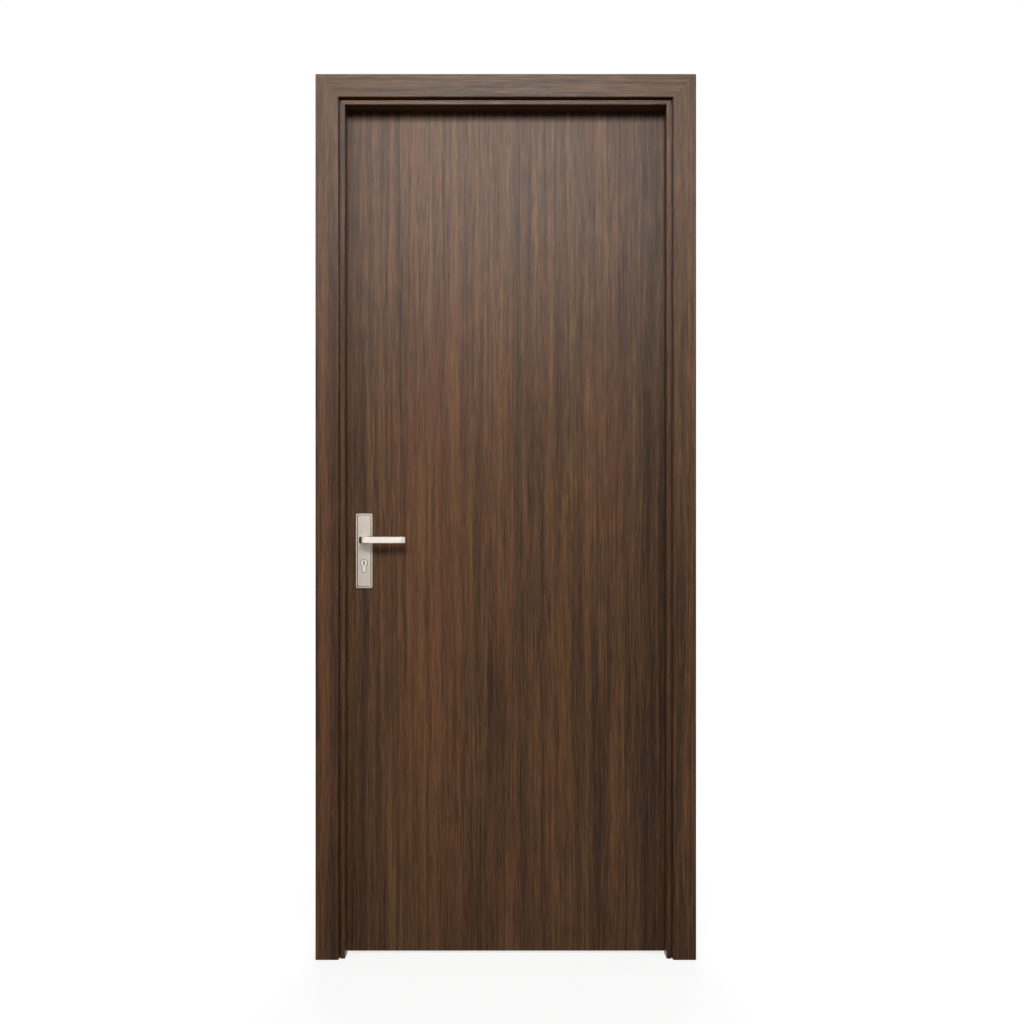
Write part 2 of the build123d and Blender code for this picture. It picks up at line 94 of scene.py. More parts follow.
class Graph:
    """A material's node tree, with short calls for the nodes that the finishes share."""

    # Places of the sockets on a Mix node that mixes colours
    MIX_FACTOR = 0
    MIX_FIRST = 6
    MIX_SECOND = 7
    MIX_RESULT = 2

    def __init__(self, name: str) -> None:
        """Makes a material with one Principled shader on its output.

        Args:
            name: the material's name.
        """
        self.material = bpy.data.materials.new(name)
        self.material.use_nodes = True
        self.tree = self.material.node_tree
        self.shader = self.tree.nodes["Principled BSDF"]

    def node(self, kind: str, **settings: object) -> bpy.types.Node:
        """Adds a node and sets its properties.

        Args:
            kind: the node's type, such as ShaderNodeTexNoise.
            settings: properties of the node.

        Returns:
            The new node.
        """
        made = self.tree.nodes.new(kind)
        for key, value in settings.items():
            setattr(made, key, value)
        return made

    def link(self, source: Socket, target: Socket) -> None:
        """Joins two sockets."""
        self.tree.links.new(source, target)

    def feed(self, value: Socket | float, target: Socket) -> None:
        """Gives a socket its value, by a link or as a number.

        Args:
            value: another socket or a number.
            target: the socket that takes it.
        """
        if isinstance(value, Socket):
            self.link(value, target)
        else:
            target.default_value = value

    def object_place(self) -> Socket:
        """Gives the object's own coordinates, in metres."""
        return self.node("ShaderNodeTexCoord").outputs["Object"]

    def place(
        self,
        stretch: Point3,
        offset: Point3 = (0.0, 0.0, 0.0),
        source: Socket | None = None,
    ) -> Socket:
        """Gives coordinates in metres, stretched and moved.

        Args:
            stretch: cycles per metre along X, Y and Z.
            offset: shift after stretching.
            source: a vector in metres. Without it, the object's own coordinates are used.

        Returns:
            The vector socket.
        """
        mapping = self.node("ShaderNodeMapping")
        mapping.inputs["Scale"].default_value = stretch
        mapping.inputs["Location"].default_value = offset
        self.link(self.object_place() if source is None else source, mapping.inputs["Vector"])
        return mapping.outputs["Vector"]

    def noise(self, vector: Socket, detail: float, roughness: float = 0.5) -> Socket:
        """Gives noise from 0 to 1 with one cycle per unit of the vector.

        Args:
            vector: where the noise is read.
            detail: how many finer octaves are added.
            roughness: how strong the finer octaves are.

        Returns:
            The noise.
        """
        texture = self.node("ShaderNodeTexNoise")
        texture.inputs["Scale"].default_value = 1.0
        texture.inputs["Detail"].default_value = detail
        texture.inputs["Roughness"].default_value = roughness
        self.link(vector, texture.inputs["Vector"])
        return texture.outputs["Fac"]

    def operate(self, operation: str, first: Socket | float, second: Socket | float) -> Socket:
        """Joins two values by a math operation.

        Args:
            operation: such as ADD.
            first: a socket or a number.
            second: a socket or a number.

        Returns:
            The result.
        """
        made = self.node("ShaderNodeMath", operation=operation)
        self.feed(first, made.inputs[0])
        self.feed(second, made.inputs[1])
        return made.outputs["Value"]

    def remap(self, value: Socket, source: Point2, target: Point2) -> Socket:
        """Maps a value from one range to another and clamps it.

        Args:
            value: what is mapped.
            source: the range that it comes from.
            target: the range that it goes to.

        Returns:
            The mapped value.
        """
        made = self.node("ShaderNodeMapRange")
        made.inputs["From Min"].default_value = source[0]
        made.inputs["From Max"].default_value = source[1]
        made.inputs["To Min"].default_value = target[0]
        made.inputs["To Max"].default_value = target[1]
        self.link(value, made.inputs["Value"])
        return made.outputs["Result"]

    def ramp(self, value: Socket, stops: Sequence[tuple[float, Colour]]) -> Socket:
        """Colours a value.

        Args:
            value: what is coloured.
            stops: positions from 0 to 1, each with its colour.

        Returns:
            The colour.
        """
        made = self.node("ShaderNodeValToRGB")
        elements = made.color_ramp.elements
        while len(elements) < len(stops):
            elements.new(0.5)
        for element, (position, colour) in zip(elements, stops):
            element.position = position
            element.color = (*colour, 1.0)
        self.link(value, made.inputs["Fac"])
        return made.outputs["Color"]

    def mix(self, factor: Socket | float, first: Socket, second: Socket, blend: str = "MIX") -> Socket:
        """Mixes two colours.

        Args:
            factor: the share of the second colour, a socket or a number.
            first: the colour below.
            second: the colour above.
            blend: how they mix.

        Returns:
            The mixed colour.
        """
        made = self.node("ShaderNodeMix", data_type="RGBA", blend_type=blend)
        self.feed(factor, made.inputs[self.MIX_FACTOR])
        self.link(first, made.inputs[self.MIX_FIRST])
        self.link(second, made.inputs[self.MIX_SECOND])
        return made.outputs[self.MIX_RESULT]

    def bump(self, height: Socket, strength: float, distance: float) -> None:
        """Puts a bump on the shader's normal.

        Args:
            height: the relief, from 0 to 1.
            strength: how much of it shows.
            distance: the relief's depth in metres.
        """
        made = self.node("ShaderNodeBump")
        made.inputs["Strength"].default_value = strength
        made.inputs["Distance"].default_value = distance
        self.link(height, made.inputs["Height"])
        self.link(made.outputs["Normal"], self.shader.inputs["Normal"])


@dataclass(frozen=True)
class GrainLayer:
    """One layer of the wood print, with its cycles per metre across and along the grain."""

    across: float
    along: float
    detail: float
    roughness: float = 0.5

    def stretch(self, grain: Grain) -> Point3:
        """Gives the cycles per metre on X, Y and Z.

        Args:
            grain: which way the grain runs.

        Returns:
            The three numbers.
        """
        if grain is Grain.UPRIGHT:
            return (self.across, self.across, self.along)
        return (self.along, self.across, self.across)


@dataclass(frozen=True)
class WalnutFilm:
    """Printed and embossed walnut film on PVC: a wandering figure, flecks and pores along the grain."""

    red_tones: tuple[Colour, ...] = (
        (0.031, 0.0120, 0.0066),
        (0.077, 0.0320, 0.0148),
        (0.146, 0.0540, 0.0270),
    )
    olive_tones: tuple[Colour, ...] = (
        (0.026, 0.0135, 0.0062),
        (0.071, 0.0345, 0.0130),
        (0.140, 0.0760, 0.0260),
    )
    tone_stops: tuple[float, ...] = (0.415, 0.50, 0.595)
    drift: GrainLayer = GrainLayer(across=2.5, along=0.9, detail=2.0)
    figure: GrainLayer = GrainLayer(across=17.0, along=0.25, detail=6.5, roughness=1.0)
    flecks: GrainLayer = GrainLayer(across=420.0, along=17.0, detail=2.0)
    hues: GrainLayer = GrainLayer(across=40.0, along=0.5, detail=3.0, roughness=0.6)
    pores: GrainLayer = GrainLayer(across=900.0, along=30.0, detail=1.0)
    print_shift: Point3 = (7.31, 3.17, 5.43)
    drift_range: Point2 = (0.2, 0.8)
    sway: float = 5.0 * MM
    figure_share: float = 0.78
    fleck_share: float = 0.22
    hue_range: Point2 = (0.28, 0.72)
    pore_range: Point2 = (0.60, 0.74)
    pore_shade: float = 0.75
    roughness: float = 0.35
    fleck_range: Point2 = (0.30, 0.70)
    fleck_gloss: float = 0.03
    specular: float = 0.14
    fleck_relief: float = 0.6
    pore_relief: float = 0.5
    emboss_strength: float = 0.15
    emboss_depth: float = 0.2 * MM

    def wander(self, graph: Graph, grain: Grain, offset: Point3) -> Socket:
        """Gives the object's coordinates with a slow sideways sway of the grain.

        Args:
            graph: the material in hand.
            grain: which way the grain runs.
            offset: the piece's place on the print.

        Returns:
            The vector socket, in metres.
        """
        slow = graph.noise(graph.place(self.drift.stretch(grain), offset), self.drift.detail)
        shift = graph.remap(slow, self.drift_range, (-self.sway, self.sway))
        spread = graph.node("ShaderNodeCombineXYZ")
        for axis in ("X", "Y") if grain is Grain.UPRIGHT else ("Y", "Z"):
            graph.link(shift, spread.inputs[axis])
        total = graph.node("ShaderNodeVectorMath", operation="ADD")
        graph.link(graph.object_place(), total.inputs[0])
        graph.link(spread.outputs["Vector"], total.inputs[1])
        return total.outputs["Vector"]

    def material(self, name: str, grain: Grain, seed: float, deepen: float = 0.0) -> bpy.types.Material:
        """Makes the film for one piece.

        Args:
            name: the material's name.
            grain: which way the grain runs.
            seed: moves the print, so that no two pieces show the same wood.
            deepen: moves the tones towards the dark ones.

        Returns:
            The material.
        """
        graph = Graph(name)
        offset = tuple(seed * shift for shift in self.print_shift)
        swayed = self.wander(graph, grain, offset)

        def read(layer: GrainLayer) -> Socket:
            """Gives one layer's noise along the swaying grain."""
            place = graph.place(layer.stretch(grain), offset, swayed)
            return graph.noise(place, layer.detail, layer.roughness)

        figure, flecks = read(self.figure), read(self.flecks)
        hue, pores = read(self.hues), read(self.pores)

        broad = graph.operate("MULTIPLY", figure, self.figure_share)
        tone = graph.operate("ADD", broad, graph.operate("MULTIPLY", flecks, self.fleck_share))
        stops = [stop + deepen for stop in self.tone_stops]
        warm = graph.ramp(tone, list(zip(stops, self.red_tones)))
        olive = graph.ramp(tone, list(zip(stops, self.olive_tones)))
        wood = graph.mix(graph.remap(hue, self.hue_range, (0.0, 1.0)), warm, olive)
        shade = graph.remap(pores, self.pore_range, (1.0, self.pore_shade))
        graph.link(graph.mix(1.0, wood, shade, "MULTIPLY"), graph.shader.inputs["Base Color"])

        gloss = (self.roughness + self.fleck_gloss, self.roughness - self.fleck_gloss)
        graph.link(graph.remap(flecks, self.fleck_range, gloss), graph.shader.inputs["Roughness"])
        graph.shader.inputs["Specular IOR Level"].default_value = self.specular
        raised = graph.operate("MULTIPLY", flecks, self.fleck_relief)
        sunk = graph.remap(pores, self.pore_range, (0.0, self.pore_relief))
        graph.bump(graph.operate("SUBTRACT", raised, sunk), self.emboss_strength, self.emboss_depth)
        return graph.material


@dataclass(frozen=True)
class SatinMetal:
    """Plated or stainless metal with a fine satin brushing along Z."""

    name: str
    colour: Colour
    roughness: float
    brushing: float = 0.06
    lines_per_m: Point3 = (2600.0, 2600.0, 60.0)
    line_detail: float = 2.0
    clouds_per_m: Point3 = (45.0, 45.0, 30.0)
    cloud_detail: float = 3.0
    cloud_shade: float = 0.94
    noise_range: Point2 = (0.3, 0.7)
    bump_strength: float = 0.05
    bump_depth: float = 0.05 * MM

    def material(self) -> bpy.types.Material:
        """Makes the metal's material.

        Returns:
            The material.
        """
        graph = Graph(self.name)
        lines = graph.noise(graph.place(self.lines_per_m), self.line_detail)
        cloud = graph.noise(graph.place(self.clouds_per_m), self.cloud_detail)
        darker = tuple(self.cloud_shade * channel for channel in self.colour)
        tones = list(zip(self.noise_range, (darker, self.colour)))
        graph.link(graph.ramp(cloud, tones), graph.shader.inputs["Base Color"])
        sway = graph.remap(lines, self.noise_range, (-self.brushing, self.brushing))
        graph.link(graph.operate("ADD", sway, self.roughness), graph.shader.inputs["Roughness"])
        graph.shader.inputs["Metallic"].default_value = 1.0
        graph.bump(lines, self.bump_strength, self.bump_depth)
        return graph.material


@dataclass(frozen=True)
class MattSkin:
    """A matt moulded surface, such as seal rubber, with a fine grain."""

    name: str
    colour: Colour
    roughness: float
    specular: float = 0.3
    speckles_per_m: float = 900.0
    speckle_detail: float = 2.0
    speckle_lift: float = 1.35
    colour_range: Point2 = (0.35, 0.75)
    gloss_range: Point2 = (0.3, 0.7)
    gloss_sway: float = 0.08
    bump_strength: float = 0.1
    bump_depth: float = 0.1 * MM

    def material(self) -> bpy.types.Material:
        """Makes the skin's material.

        Returns:
            The material.
        """
        graph = Graph(self.name)
        cycles = (self.speckles_per_m, self.speckles_per_m, self.speckles_per_m)
        speckle = graph.noise(graph.place(cycles), self.speckle_detail)
        lighter = tuple(self.speckle_lift * channel for channel in self.colour)
        tones = list(zip(self.colour_range, (self.colour, lighter)))
        graph.link(graph.ramp(speckle, tones), graph.shader.inputs["Base Color"])
        gloss = (self.roughness, self.roughness + self.gloss_sway)
        graph.link(graph.remap(speckle, self.gloss_range, gloss), graph.shader.inputs["Roughness"])
        graph.shader.inputs["Specular IOR Level"].default_value = self.specular
        graph.bump(speckle, self.bump_strength, self.bump_depth)
        return graph.material


def dress(names: Sequence[str], material: bpy.types.Material) -> None:
    """Puts one material on CAD nodes and reports them.

    Args:
        names: the nodes.
        material: what they get.
    """
    for name in names:
        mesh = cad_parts[name].data
        mesh.materials.clear()
        mesh.materials.append(material)
        LOG.info("node %s in %s", name, material.name)


@dataclass(frozen=True)
class Seat:
    """Where a small piece stands: a point on a surface, the way the surface looks, and a turn in radians."""

    centre: Vector
    normal: Vector
    turn: float = 0.0

    def point(self, flat: Point2, height: float) -> Vector:
        """Puts a point of a flat drawing on the surface.

        Args:
            flat: the drawing's point, with its second axis along Z, or along Y on a level surface.
            height: how far the point stands off the surface.

        Returns:
            The point in the door set's own frame.
        """
        is_level = abs(self.normal.z) > max(abs(self.normal.x), abs(self.normal.y))
        up = Vector((0.0, 1.0, 0.0)) if is_level else Vector((0.0, 0.0, 1.0))
        right = up.cross(self.normal)
        x = flat[0] * math.cos(self.turn) - flat[1] * math.sin(self.turn)
        y = flat[0] * math.sin(self.turn) + flat[1] * math.cos(self.turn)
        return self.centre + right * x + up * y + self.normal * height


def circle(radius: float, steps: int) -> list[Point2]:
    """Gives the points of a circle."""
    angles = [2.0 * math.pi * step / steps for step in range(steps)]
    return [(radius * math.cos(angle), radius * math.sin(angle)) for angle in angles]


def cross_slot(reach: float, half_width: float) -> list[Point2]:
    """Gives the outline of a screw's cross recess.

    Args:
        reach: from the middle to the end of an arm.
        half_width: half of an arm's width.

    Returns:
        The points, counter-clockwise.
    """
    arm = [(reach, -half_width), (reach, half_width), (half_width, half_width)]
    points: list[Point2] = []
    for quarter in range(4):
        c, s = math.cos(quarter * math.pi / 2), math.sin(quarter * math.pi / 2)
        points += [(c * x - s * y, s * x + c * y) for x, y in arm]
    return points


def hex_socket(radius: float) -> list[Point2]:
    """Gives the outline of a hexagon socket."""
    return circle(radius, 6)


def keyway(width: float, height: float) -> list[Point2]:
    """Gives a key slot with a side ward, as in a pin cylinder.

    Args:
        width: of the slot beside the ward.
        height: of the slot.

    Returns:
        The points, counter-clockwise.
    """
    w, h = width / 2, height / 2
    ward = zip((w, WARD_REACH * w, WARD_REACH * w, w), (level * h for level in WARD_LEVELS))
    return [(-w, -h), (w, -h), *ward, (w, h), (-w, h)]


def euro_outline(grow: float, steps: int = 40) -> list[Point2]:
    """Gives the euro-profile outline about the plug's middle, grown all round.

    Args:
        grow: how far outside the cylinder the outline runs.
        steps: points on the round part.

    Returns:
        The points, counter-clockwise.
    """
    radius, half_lobe = EURO_RADIUS + grow, EURO_HALF_LOBE + grow
    start = -math.acos(half_lobe / radius)
    sweep = math.pi - 2.0 * start
    points: list[Point2] = []
    for step in range(steps + 1):
        angle = start + sweep * step / steps
        points.append((radius * math.cos(angle), radius * math.sin(angle)))
    foot_steps = steps // 2
    for step in range(foot_steps + 1):
        angle = math.pi + math.pi * step / foot_steps
        points.append((half_lobe * math.cos(angle), -EURO_LOBE_DROP + half_lobe * math.sin(angle)))
    return points


def band(shape: bmesh.types.BMesh, low: Ring, high: Ring) -> None:
    """Joins two rings with a band of faces.

    Args:
        shape: the mesh in hand.
        low: one ring.
        high: the other, with as many points.
    """
    for index in range(len(low)):
        after = (index + 1) % len(low)
        shape.faces.new((low[index], low[after], high[after], high[index]))


def make_piece(name: str, shape: bmesh.types.BMesh) -> bpy.types.Object:
    """Turns a finished shape into an object of the scene.

    Args:
        name: the object's name.
        shape: the mesh in hand, which is freed.

    Returns:
        The object.
    """
    bmesh.ops.recalc_face_normals(shape, faces=shape.faces)
    mesh = bpy.data.meshes.new(name)
    shape.to_mesh(mesh)
    shape.free()
    made = bpy.data.objects.new(name, mesh)
    bpy.context.scene.collection.objects.link(made)
    return made


@dataclass(frozen=True)
class Stud:
    """A low round piece: a screw with a recess, a plain cap, or a lock plug with a slot right through it."""

    radius: float
    height: float
    ease: float
    recess: tuple[Point2, ...] = ()
    recess_depth: float = 0.0
    recess_taper: float = 0.9
    open_slot: bool = False
    round_share: float = 0.3
    steps: int = 36

    @classmethod
    def cross_head(cls, radius: float, height: float, ease: float, slot: Point2, depth: float) -> "Stud":
        """Gives a screw head with a cross recess of the given reach, half width and depth."""
        return cls(radius, height, ease, tuple(cross_slot(*slot)), depth)

    def build(self, name: str, seat: Seat) -> bpy.types.Object:
        """Makes the piece standing on a surface.

        Args:
            name: the object's name.
            seat: where it stands.

        Returns:
            The object.
        """
        shape = bmesh.new()

        def ring(points: Sequence[Point2], height: float) -> Ring:
            """Adds a ring of points at one height."""
            return [shape.verts.new(seat.point(point, height)) for point in points]

        def round_ring(inset: float, height: float) -> Ring:
            """Adds a round ring, set in from the piece's radius."""
            return ring(circle(self.radius - inset, self.steps), height)

        def face_round(outer: Ring, inner: Ring) -> None:
            """Fills the flat between two rings.

            Args:
                outer: a ring of the round outline.
                inner: the outline of an opening.
            """
            edges = [shape.edges.get((outer[i - 1], outer[i])) for i in range(len(outer))]
            edges += [shape.edges.new((inner[i - 1], inner[i])) for i in range(len(inner))]
            bmesh.ops.triangle_fill(shape, use_beauty=True, use_dissolve=False, edges=edges)

        rounding = self.round_share * self.ease
        base = round_ring(0.0, 0.0)
        shoulder = round_ring(0.0, self.height - self.ease)
        round_off = round_ring(rounding, self.height - rounding)
        rim = round_ring(self.ease, self.height)
        for low, high in ((base, shoulder), (shoulder, round_off), (round_off, rim)):
            band(shape, low, high)

        if self.open_slot:
            mouth = ring(self.recess, self.height)
            foot = ring(self.recess, 0.0)
            face_round(rim, mouth)
            face_round(base, foot)
            band(shape, mouth, foot)
        elif self.recess:
            mouth = ring(self.recess, self.height)
            tapered = [(self.recess_taper * x, self.recess_taper * y) for x, y in self.recess]
            floor = ring(tapered, self.height - self.recess_depth)
            face_round(rim, mouth)
            band(shape, mouth, floor)
            shape.faces.new(floor)
            shape.faces.new(list(reversed(base)))
        else:
            shape.faces.new(rim)
            shape.faces.new(list(reversed(base)))
        return make_piece(name, shape)


@dataclass(frozen=True)
class ScrewPair:
    """Two like screws near the ends of an upright plate."""

    screw: Stud
    inset: float
    turns: Point2

    def build(self, name: str, plate: str, foot: Point2, normal: Vector) -> list[bpy.types.Object]:
        """Makes the two screws.

        Args:
            name: the screws' name, which a number follows.
            plate: the node that they hold.
            foot: X and Y of the face that they stand on.
            normal: the way the face looks.

        Returns:
            The objects, the lower one first.
        """
        low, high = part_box(plate)
        heights = (low[2] + self.inset, high[2] - self.inset)
        return [
            self.screw.build(f"{name}_{number}", Seat(Vector((*foot, height)), normal, turn))
            for number, (height, turn) in enumerate(zip(heights, self.turns))
        ]


def finish_piece(piece: bpy.types.Object, body: str, material: bpy.types.Material) -> None:
    """Gives a new piece its finish, its body and its slot, and reports it.

    Args:
        piece: the object.
        body: the CAD body that it moves with.
        material: its finish.
    """
    piece.data.materials.append(material)
    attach(piece, body)
    LOG.info("piece %s on %s", piece.name, body)


@dataclass
class Finishes:
    """The finishes of the whole door set."""

    film: WalnutFilm
    nickel: bpy.types.Material
    lever: bpy.types.Material
    cylinder: bpy.types.Material
    stainless: bpy.types.Material
    lock_steel: bpy.types.Material
    rubber: bpy.types.Material
    # A near-black finish that paints the shade inside the key slots.
    ward_brass: bpy.types.Material

    @classmethod
    def make(cls) -> "Finishes":
        """Makes every shared finish."""
        return cls(
            film=WalnutFilm(),
            nickel=SatinMetal("satin_nickel", (0.368, 0.329, 0.281), roughness=0.38).material(),
            # The levers' nickel is lighter than the plates' to paint the levers' brighter reflection.
            lever=SatinMetal("lever_nickel_painted_highlight", (0.61, 0.556, 0.494), roughness=0.33).material(),
            cylinder=SatinMetal("cylinder_nickel", (0.60, 0.55, 0.48), roughness=0.24).material(),
            stainless=SatinMetal("hinge_steel", (0.47, 0.46, 0.44), roughness=0.34).material(),
            lock_steel=SatinMetal("lock_steel", (0.45, 0.44, 0.43), roughness=0.36).material(),
            rubber=MattSkin("seal_rubber", (0.010, 0.0095, 0.009), roughness=0.62).material(),
            # Near-black: painted shade inside the key slots.
            ward_brass=MattSkin("ward_brass", (0.0060, 0.0050, 0.0036), roughness=0.5).material(),
        )


@dataclass
class DoorFrame:
    """Jambs, stops, seals and architraves, with the caps over the wall fixings and the strike's screws."""

    members: tuple[str, ...] = ("lock", "hinge", "head")
    deepen: tuple[float, ...] = (0.022, 0.016, 0.008)
    first_print: float = 1.0
    print_step: float = 0.23
    cap_print: float = 5.5
    cap: Stud = Stud(radius=6.0 * MM, height=1.2 * MM, ease=0.6 * MM)
    fixing_inset: float = 16.0 * MM
    fixing_heights: tuple[float, ...] = (0.150, 0.750, 1.450, 2.050)
    strike_screws: ScrewPair = ScrewPair(
        screw=Stud.cross_head(
            radius=3.8 * MM, height=0.5 * MM, ease=0.4 * MM, slot=(2.0 * MM, 0.45 * MM), depth=0.45 * MM
        ),
        inset=10.0 * MM,
        turns=(0.5, 1.5),
    )

    def dress(self, finishes: Finishes) -> None:
        """Puts film on each profile, with the grain along it, and rubber on the seals.

        Args:
            finishes: the set's finishes.
        """
        for index, (member, deepen) in enumerate(zip(self.members, self.deepen)):
            grain = Grain.LEVEL if member == "head" else Grain.UPRIGHT
            architraves = (f"front_{member}_architrave", f"back_{member}_architrave")
            for step, piece in enumerate((f"{member}_jamb", f"{member}_stop", *architraves)):
                seed = self.first_print + index + self.print_step * step
                dress([piece], finishes.film.material(f"film_{piece}", grain, seed, deepen))
            dress([f"{member}_seal"], finishes.rubber)
        dress(["strike_plate"], finishes.lock_steel)

    def build(self, finishes: Finishes) -> None:
        """Makes the cover caps in both rebates and the strike's screws.

        Args:
            finishes: the set's finishes.
        """
        film = finishes.film.material("film_caps", Grain.UPRIGHT, self.cap_print)
        for member, way in (("lock", 1.0), ("hinge", -1.0)):
            low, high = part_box(f"{member}_jamb")
            face_x = high[0] if way > 0 else low[0]
            for number, height in enumerate(self.fixing_heights):
                centre = Vector((face_x, high[1] - self.fixing_inset, height))
                seat = Seat(centre, Vector((way, 0.0, 0.0)))
                piece = self.cap.build(f"{member}_fixing_cap_{number}", seat)
                finish_piece(piece, "frame", film)
        low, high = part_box("strike_plate")
        foot = (high[0], (low[1] + high[1]) / 2)
        for piece in self.strike_screws.build("strike_screw", "strike_plate", foot, Vector((1.0, 0.0, 0.0))):
            finish_piece(piece, "frame", finishes.lock_steel)


@dataclass
class Leaf:
    """The flush leaf: skins over stiles and rails."""

    upright: tuple[str, ...] = ("front_skin", "back_skin", "lock_stile", "hinge_stile")
    level: tuple[str, ...] = ("top_rail", "bottom_rail")
    upright_print: float = 43.6
    level_print: float = 14.0
    print_step: float = 1.3

    def dress(self, finishes: Finishes) -> None:
        """Puts film on the leaf, with upright grain on skins and stiles.

        Args:
            finishes: the set's finishes.
        """
        for pieces, grain, first_print in (
            (self.upright, Grain.UPRIGHT, self.upright_print),
            (self.level, Grain.LEVEL, self.level_print),
        ):
            for step, piece in enumerate(pieces):
                seed = first_print + self.print_step * step
                dress([piece], finishes.film.material(f"film_{piece}", grain, seed))


@dataclass
class Hinges:
    """Three butt hinges with countersunk screws in each flap."""

    names: tuple[str, ...] = ("top", "middle", "bottom")
    screw: Stud = Stud.cross_head(
        radius=3.9 * MM, height=0.4 * MM, ease=0.3 * MM, slot=(2.1 * MM, 0.45 * MM), depth=0.35 * MM
    )
    end_inset: float = 15.0 * MM
    rows: int = 4
    stagger: float = 7.0 * MM
    turn_step: float = 0.7

    def dress(self, finishes: Finishes) -> None:
        """Puts stainless steel on flaps and pins."""
        for hinge in self.names:
            dress([f"{hinge}_hinge_{part}" for part in ("jamb_flap", "leaf_flap", "pin")], finishes.stainless)

    def build(self, finishes: Finishes) -> None:
        """Makes the screws on the flap faces that show when the leaf is open.

        Args:
            finishes: the set's finishes.
        """
        jamb_low, jamb_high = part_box("hinge_jamb")
        leaf_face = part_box("hinge_stile")[1][0]
        flap_middle_y = (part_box("top_hinge_jamb_flap")[0][1] + jamb_high[1]) / 2
        owners = (("jamb", "frame", jamb_low[0], -1.0), ("leaf", "leaf", leaf_face, 1.0))
        for hinge in self.names:
            for owner, body, face_x, way in owners:
                low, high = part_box(f"{hinge}_hinge_{owner}_flap")
                pitch = (high[2] - low[2] - 2 * self.end_inset) / (self.rows - 1)
                for row in range(self.rows):
                    offset = self.stagger if row in (0, self.rows - 1) else -self.stagger
                    height = low[2] + self.end_inset + row * pitch
                    centre = Vector((face_x, flap_middle_y + offset, height))
                    seat = Seat(centre, Vector((way, 0.0, 0.0)), self.turn_step * row)
                    piece = self.screw.build(f"{hinge}_{owner}_screw_{row}", seat)
                    finish_piece(piece, body, finishes.stainless)


